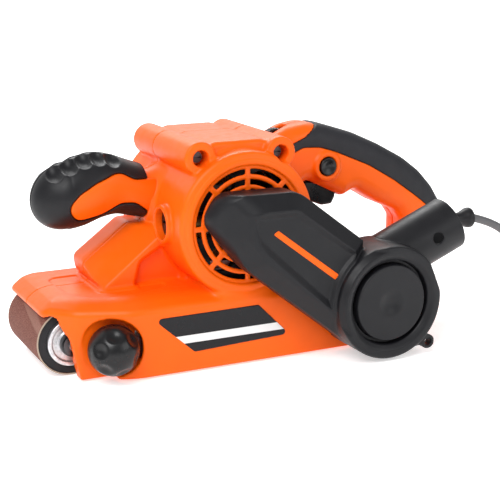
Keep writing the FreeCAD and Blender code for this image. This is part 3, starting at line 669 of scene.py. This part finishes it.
def make_housing(material):
    """Two clamshell halves that meet on the middle plane."""
    for name, node, low, high, side in (("housing_near", "housing_left", -76, 0.9, 1),
                                        ("housing_far", "housing_right", -0.9, 56, -1)):
        s = Space((-120, low, -1), (254, high, 169), HOUSING_STEP)
        solid = cut(housing_outer(s), housing_inner(s), 0.5)
        for hole in housing_openings(s):
            solid = cut(solid, hole, 0.7)
        solid = cut(solid, rear_grip_field(s) - 0.15, 0.3)
        solid = meet(solid, side * s.y + GAP, 0.15)
        to_mesh(name, s, solid, "machine", material, [node], HOUSING_KEEP)


# ---- handles -----------------------------------------------------------------------------------
RUBBER = [(117, 175, 0), (117, 164, 4), (103, 154.5, 8), (91, 149.5, 3), (87, 145.5, 1.5),
          (91, 142.5, 3), (101, 147, 10), (116, 146.3, 20), (132, 141, 40), (161, 128.7, 60),
          (185, 114.6, 60), (205, 100.5, 20), (216, 92, 8), (222, 80, 4), (240, 80, 4),
          (245, 110, 0), (205, 140, 0), (150, 172, 0)]


def rear_grip_field(s):
    """Rubber pad over the top of the handle."""
    whole = slab(handle_outline(s) - 0.6, s.y, -19.6, 19.6, 12.6)
    band = slab(outline(s.x, s.z, rounded(RUBBER)), s.y, -25, 25, 1)
    deep = slab(handle_outline(s) + 2.4, s.y, -16.8, 16.8, 9.6)
    return cut(meet(whole, band, 0.5), deep, 0.3)


GRIP_TOP = [(-112, 120), (-102, 138), (-86.6, 147), (-75, 151.2), (-62, 153), (-48.6, 150.5),
            (-37, 146), (-20, 140)]
GRIP_LOW = [(-112, 118), (-106, 105.5), (-96, 99.4), (-88, 98.0), (-73, 99.6), (-57.7, 104.6),
            (-47.6, 106), (-35, 103.5), (-20, 100)]
GRIP_HALF = [(-112, 20), (-98, 22.5), (-84, 24.3), (-64, 23.6), (-44, 20.6), (-20, 20.5)]
GRIP_WINDOW = [(-89.5, 117, 8), (-81, 106, 9), (-60, 108.5, 20), (-47, 116.5, 10),
               (-36, 116, 10), (-24, 107, 2), (-18, 107, 0), (-18, 133, 0), (-36, 133.5, 10),
               (-48, 140.5, 14), (-67, 134, 25), (-80, 127, 20)]
GRIP_TIP, GRIP_MIDDLE, GRIP_AXIS = -109.6, -84.0, 120.0
GRIP_FROM, GRIP_TO = -112, -20
SCALLOPS, SCALLOP_STEP = 5, 11.5
CORE_INSET = 6.0


def grip_field(s, inset=0.0):
    """Front handle's body: oval sections closed by half an egg at the tip."""
    x = np.clip(s.x, GRIP_FROM, GRIP_TO)
    reach = np.clip((GRIP_MIDDLE - s.x) / (GRIP_MIDDLE - GRIP_TIP), 0, 1.4)
    top, low, half = curve(GRIP_TOP, x), curve(GRIP_LOW, x), curve(GRIP_HALF, x)
    egg = (curve(GRIP_TOP, np.float64(GRIP_MIDDLE)) + curve(GRIP_LOW, np.float64(GRIP_MIDDLE))) / 2
    egg_middle = GRIP_AXIS + (egg - GRIP_AXIS) * (1 - reach)
    tall = np.where(s.x < GRIP_MIDDLE, 24.6, (top - low) / 2)
    middle = np.where(s.x < GRIP_MIDDLE, egg_middle, (top + low) / 2)
    scaled = np.sqrt((s.y / half) ** 2 + ((s.z - middle) / tall) ** 2 + reach ** 2)
    return (scaled - 1) * 22 + inset


def grip_window(s):
    """Oval in the sides of the grip through which the orange core shows."""
    return np.maximum(outline(s.x, s.z, rounded(GRIP_WINDOW)), 8 - np.abs(s.y))


def make_front_handle(black, orange):
    s = Space((-113, -27, 92), (-12, 27, 158), 0.7)
    whole = grip_field(s)
    window = grip_window(s)
    socket = barrel(s, BARREL[2] + 0.2)
    inlay = meet(grip_field(s, 0.35), window + 0.5, 1.2)
    core = join(grip_field(s, CORE_INSET), inlay, 0.8)
    to_mesh("front_handle_core_piece", s, np.maximum(core, -socket), "machine", orange,
            ["front_handle_core"], 0.6)
    shell = cut(whole, grip_field(s, CORE_INSET - 0.15), 0.3)
    shell = cut(shell, window, 0.9)
    for i in range(SCALLOPS):
        x = -96 + SCALLOP_STEP * i
        z = float(curve(GRIP_TOP, np.float64(x))) + 2.8
        for side in (-1, 1):
            shell = cut(shell, ball(s, (x, side * 15.5, z), (8.6, 14.5, 10.6)), 0.4)
    seam = np.maximum(np.abs(s.y) - 0.45, -(whole + 0.9))
    shell = cut(shell, seam, 0.3)
    shell = np.maximum(np.maximum(shell, 0.2 - socket), s.x + 26)
    to_mesh("front_grip_piece", s, shell, "machine", black, ["front_grip"], 0.6)


def make_rear_grip(rubber):
    s = Space((84, -22, 78), (248, 22, 170), 0.7)
    to_mesh("rear_grip_piece", s, rear_grip_field(s), "machine", rubber, ["rear_grip"],
            0.5)


# ---- dust duct ---------------------------------------------------------------------------------
DUCT = [(-11, 112, 10), (2, 131.5, 14), (56, 131, 24), (110, 90, 0), (108, 30, 0), (93, 17, 0),
        (16, 78, 40)]
DUCT_END = (125.5, 44.5)
DISC_RADIUS = 42.5
NOZZLE_END = Vector((192.5, -84, 92.5))
NOZZLE_DIRECTION = Vector((math.cos(math.radians(22.5)), 0, math.sin(math.radians(22.5))))
NOZZLE_RADIUS, NOZZLE_BORE = 20.5, 17.3
LOCK_HOLE = (170.5, 86.5)
EAR = (159, 10)
PANEL = [(20, 115, 3), (50, 114.5, 6), (66, 103, 3), (104, 77, 2), (88, 41, 2), (24, 100, 4)]
PANEL_Y = -103.2
STRIPE = [(33, 103.5, 1), (37, 106, 1), (86, 68.5, 1), (83, 65, 1)]


def nozzle_rod(s, start, end, radius, edge=0.8):
    """Round bar on the nozzle's axis, between distances back from its mouth."""
    return rod(s, NOZZLE_END - NOZZLE_DIRECTION * start, NOZZLE_END - NOZZLE_DIRECTION * end,
               radius, edge)


def end_disc(s):
    return slab(circle(s.x, s.z, *DUCT_END, DISC_RADIUS), s.y, -114, -73, 2.5)


def panel_recess(s, radius):
    """Sunk panel in the arm, with sloping walls, that stops short of the disc."""
    floor = s.y - PANEL_Y
    walls = 0.50 * outline(s.x, s.z, rounded(PANEL)) + 0.87 * floor
    return np.maximum(np.maximum(floor, walls), 0.8 * (47 - radius) + 0.6 * floor)


def duct_field(s):
    flat = outline(s.x, s.z, rounded(DUCT))
    arm = slab(flat, s.y, -106, -76, 1.2)
    arm = meet(arm, 0.62 * (flat + 12) - 0.78 * (s.y + 106), 0.7)
    arm = meet(arm, 0.66 * (20 - s.x) - 0.75 * (s.y + 106), 6)
    solid = join(end_disc(s), arm, 1.2)
    solid = join(solid, nozzle_rod(s, 72, 40, 20.3), 0.8)
    radius = circle(s.x, s.z, *DUCT_END, 0)
    solid = cut(solid, panel_recess(s, radius), 0.25)
    step = np.maximum(s.y + 110.5, 0.6 * (radius - 31.2) + 0.8 * (s.y + 110.5))
    plate = slab(radius - 28.6, s.y, -112.6, -90, 1.0)
    solid = cut(solid, np.maximum(step, -plate), 0.5)
    groove = slab(np.abs(radius - 30.3) - 1.5, s.y, -120, -105.5, 0.4)
    solid = cut(solid, groove, 0.4)
    solid = cut(solid, ball(s, (DUCT_END[0], -118.2, DUCT_END[1]), (11.5, 8, 11.5)), 1.5)
    ear = slab(circle(s.x, s.z, *EAR, 5.5), s.y, -112, -104, 0.6)
    ear = join(ear, block(s, (148, -112, 8), (159, -104, 16)), 1)
    return join(solid, ear, 1.5)


def make_duct(black):
    s = Space((-14, -117, 0), (172, -73, 136), 0.75)
    whole = duct_field(s)
    solid = cut(whole, whole + 3.0, 0.3)
    solid = cut(solid, block(s, (90.2, -80, 14.2), (109.8, -60, 43.8), 4), 0.5)
    solid = cut(solid, slab(circle(s.x, s.z, *EAR, 3.0), s.y, -120, -100), 0.4)
    joint = NOZZLE_END - NOZZLE_DIRECTION * 40
    along = (s.x - joint.x) * NOZZLE_DIRECTION.x + (s.z - joint.z) * NOZZLE_DIRECTION.z
    solid = cut(np.maximum(solid, along), nozzle_rod(s, 76, 0, NOZZLE_BORE), 0.3)
    to_mesh("duct_body", s, solid, "machine", black, ["duct_shell", "duct_cap", "duct_back"],
            0.5)


def make_nozzle(black):
    """Outlet tube, trimmed where it meets the disc and the arm."""
    s = Space((120, -107, 40), (204, -62, 116), 0.75)
    tube = cut(nozzle_rod(s, 62, 0, NOZZLE_RADIUS), nozzle_rod(s, 34, -5, 18.2), 0.7)
    tube = cut(tube, nozzle_rod(s, 70, 0, NOZZLE_BORE), 0.4)
    x, z = LOCK_HOLE
    tube = cut(tube, rod(s, (x, -84, z), (x, -124, z), 4.4), 0.5)
    flat = outline(s.x, s.z, rounded(DUCT))
    arm = np.maximum(0.62 * (flat + 13) - 0.78 * (s.y + 106), flat)
    arm = np.maximum(arm, np.abs(s.y + 91) - 15)
    tube = cut(tube, np.minimum(end_disc(s), arm), 0.1)
    to_mesh("duct_nozzle_piece", s, tube, "machine", black, ["duct_nozzle"], 0.6)


def make_stripe(orange):
    """Plain orange stripe set in the duct's panel."""
    s = Space((28, -104.5, 58), (92, -101.5, 106), 0.4)
    solid = slab(outline(s.x, s.z, rounded(STRIPE)), s.y, PANEL_Y - 0.5, PANEL_Y + 0.4, 0.3)
    to_mesh("duct_stripe", s, solid, "machine", orange, [], 0.4)


# ---- knob, controls, strain relief and plug ----------------------------------------------------
KNOB_Y = -69.0
DIMPLES = 6


def make_knob(black):
    """Ball with a ring of round dimples."""
    s = Space((-95, -90, 4), (-53, -54, 45), 0.5)
    x, z, r = KNOB
    solid = meet(ball(s, (x, KNOB_Y, z), r), s.y + 57, 1)
    off, away = math.radians(52), 25.8
    for i in range(DIMPLES):
        around = math.radians(360 / DIMPLES * i - 18)
        place = (x + away * math.sin(off) * math.cos(around), KNOB_Y - away * math.cos(off),
                 z + away * math.sin(off) * math.sin(around))
        solid = cut(solid, ball(s, place, 9.6), 1.5)
    solid = cut(solid, slab(circle(s.x, s.z, x, z, 4.1), s.y, -66, -50), 0.3)
    to_mesh("tracking_knob_piece", s, solid, "tracking_knob", black, ["tracking_knob"])


TRIGGER = [(108, 104, 2), (108, 118, 2), (136, 118, 2), (136, 104, 3), (133, 98, 3),
           (124, 97.6, 5)]
DIAL_TEETH = 24


def make_trigger(black):
    s = Space((104, -11, 95), (140, 11, 121), 0.4)
    solid = slab(outline(s.x, s.z, rounded(TRIGGER)), s.y, -9, 9, 2)
    to_mesh("trigger_piece", s, solid, "trigger", black, ["trigger"])


def make_lock_button(black):
    s = Space((113, -24, 122), (131, -13, 140), 0.4)
    x, z, r = LOCK
    solid = slab(circle(s.x, s.z, x, z, r), s.y, -22.5, -14, 0.8)
    solid = cut(solid, ball(s, (x, -31.0, z), 10), 0.8)
    to_mesh("lock_button_piece", s, solid, "lock_button", black, ["lock_button"])


def make_speed_dial(black):
    s = Space((75, -4, 142), (95, 4, 162), 0.3)
    x, z, r = DIAL
    teeth = 0.35 * np.cos(np.arctan2(s.z - z, s.x - x) * DIAL_TEETH)
    solid = slab(circle(s.x, s.z, x, z, r) + teeth, s.y, -3, 3, 0.5)
    to_mesh("speed_dial_piece", s, solid, "speed_dial", black, ["speed_dial"],
            0.6)


BUSH_START, BUSH_END = 240.8, 273.8
CORD_BORE = 3.45


def make_strain_relief(black):
    """Stem with flexing cuts, then a trumpet end, round the cord."""
    s = Space((240, -9, 62), (275, 9, 81), 0.4)
    off = np.hypot(s.y, s.z - CORD_Z)
    radius = curve([(240, 6.6), (250, 6.3), (257, 5.2), (262, 5.4), (266, 6.9), (269, 8.3),
                    (275, 8.6)], s.x)
    length = np.abs(s.x - (BUSH_START + BUSH_END) / 2) - (BUSH_END - BUSH_START) / 2
    solid = meet(off - radius, length, 1.6)
    for x in (254.0, 258.0):
        solid = cut(solid, np.maximum(np.abs(s.x - x) - 0.5, 4.4 - off), 0.3)
    solid = cut(solid, off - CORD_BORE, 0.3)
    to_mesh("strain_relief_piece", s, solid, "machine", black, ["strain_relief"])


PLUG = (386.0, -28.0, 36.5)
PIN_APART, PIN_RADIUS = 9.5, 2.3


def make_plug_body(black):
    s = Space((364, -48, 27), (424, -8, 47), 0.6)
    x, y, z = PLUG
    body = [(x, y - 15, 5), (x + 3, y - 18, 5), (x + 36, y - 18, 9), (x + 36, y + 18, 9),
            (x + 3, y + 18, 5), (x, y + 15, 5)]
    solid = slab(outline(s.x, s.y, rounded(body)), s.z, 28.2, 45, 5)
    off = np.hypot(s.y - y, s.z - z)
    tail = meet(off - curve([(x - 20, 4.9), (x - 8, 5.6), (x + 2, 7)], s.x),
                np.abs(s.x - x + 9) - 11, 0.8)
    for i in range(4):
        tail = cut(tail, np.maximum(np.abs(s.x - x + 16 - 3.6 * i) - 0.6, 4.4 - off), 0.3)
    solid = join(solid, tail, 3)
    for side in (-1, 1):
        solid = cut(solid, ball(s, (x + 18, y + side * 22, z), (11, 7, 7)), 2)
    solid = cut(solid, np.maximum(off - CORD_BORE, s.x - x + 12), 0.3)
    return to_mesh("plug_body", s, solid, "machine", black, ["plug"], 0.6)


def make_plug_pins(steel):
    s = Space((420, -41, 33), (442, -15, 40), 0.35)
    x, y, z = PLUG
    pins = [rod(s, (x + 35.5, y + side * PIN_APART, z), (x + 55, y + side * PIN_APART, z),
                PIN_RADIUS, 1.2) for side in (-1, 1)]
    return to_mesh("plug_pins", s, np.minimum(*pins), "machine", steel, [])


def make_cord(material):
    """Lead from the strain relief, round its coil, then up and over to the plug on top."""
    last = [coil_point(a, COIL_RADII[0], LAYERS[-1]) for a in range(-90, 181, 22)]
    x, y, z = PLUG
    bend = []
    for k in range(1, 4):
        turn = math.radians(22.5 * k)
        bend.append((x - 20.5 + y * math.cos(turn), y * math.sin(turn), 26 + 2.625 * k))
    points = list(CORD_ROUTE) + coil_points() + last + bend + [(x - 20, y, z), (x - 10, y, z)]
    cord = nurbs_tube("mains_cord", points, CORD_R)
    finish_piece(cord, "machine", material, ["cord", "cord_coil"])


# ---- front roller's hubs, name plate and CAD nodes that stay -----------------------------------
HUB_RADIUS = 17.2


def make_hub(name, face, outer, low, high, stands_for, alloy):
    """Bright hub with a rim, a raised boss and a ring-shaped pocket; face is -1 for the near end."""
    x, z = -95.551, 24.5
    s = Space((x - 18, low, z - 18), (x + 18, high, z + 18), 0.4)
    radius = np.hypot(s.x - x, s.z - z)
    solid = slab(radius - HUB_RADIUS, s.y, *sorted((outer, face * 33.0)), 1.0)
    above = outer + face * 3
    pocket = slab(np.abs(radius - 11.6) - 2.4, s.y, *sorted((above, outer - face * 1.6)), 0.6)
    solid = cut(solid, pocket, 0.5)
    boss = slab(radius - 7.6, s.y, *sorted((above, outer - face * 0.8)), 0.4)
    solid = cut(solid, boss, 0.4)
    solid = cut(solid, slab(radius - 4.5, s.y, low - 5, high + 5, 0.3), 0.4)
    to_mesh(name, s, solid, "front_roller", alloy, stands_for, 0.5)


PLATE = [(-45, 43.5, 2.5), (37, 44, 2.5), (62, 18.5, 2.5), (-14, 15.5, 2.5)]


def make_name_plate(film):
    s = Space((-47, -73.4, 13), (65, -71, 48), 0.35)
    solid = slab(outline(s.x, s.z, rounded(PLATE)), s.y, -72.6, -71.8, 0.25)
    to_mesh("name_plate_film", s, solid, "machine", film, ["name_plate"], 0.3)


def dress_cad_nodes():
    """Give every CAD node that stays in view the look of its material slot; the housing screws get
    dark steel instead, as painted shade for the inside of their deep holes.
    """
    slots = {part["node"]: part["material_slot"] for part in frame["record"]["subparts"]}
    for name, node in frame["nodes"].items():
        if node.hide_render:
            continue
        node.data.materials.clear()
        # Dark steel on the housing screws is painted shade: their heads stand in for the dark inside
        # of the screw holes.
        look = "dark_steel" if name == "housing_screws" else slots[name]
        node.data.materials.append(LOOKS[look])


# ---- build -------------------------------------------------------------------------------------
make_housing(LOOKS["orange_shell"])
make_rear_grip(LOOKS["grip_rubber"])
make_front_handle(LOOKS["black_shell"], LOOKS["orange_shell"])
make_duct(LOOKS["black_shell"])
make_nozzle(LOOKS["black_shell"])
make_stripe(LOOKS["orange_shell"])
make_knob(LOOKS["black_control"])
make_trigger(LOOKS["black_control"])
make_lock_button(LOOKS["black_control"])
make_speed_dial(LOOKS["black_control"])
make_strain_relief(LOOKS["black_shell"])
make_hub("roller_hub_near", -1, -40.6, -42.5, -31, ["roller_hubs"], LOOKS["cast_alloy"])
make_hub("roller_hub_far", 1, 39.6, 31, 41, [], LOOKS["cast_alloy"])
make_name_plate(LOOKS["plate_film"])
plug_pieces = [make_plug_body(LOOKS["plug_body"]), make_plug_pins(LOOKS["steel"])]
make_cord(LOOKS["cord_jacket"])
dress_cad_nodes()
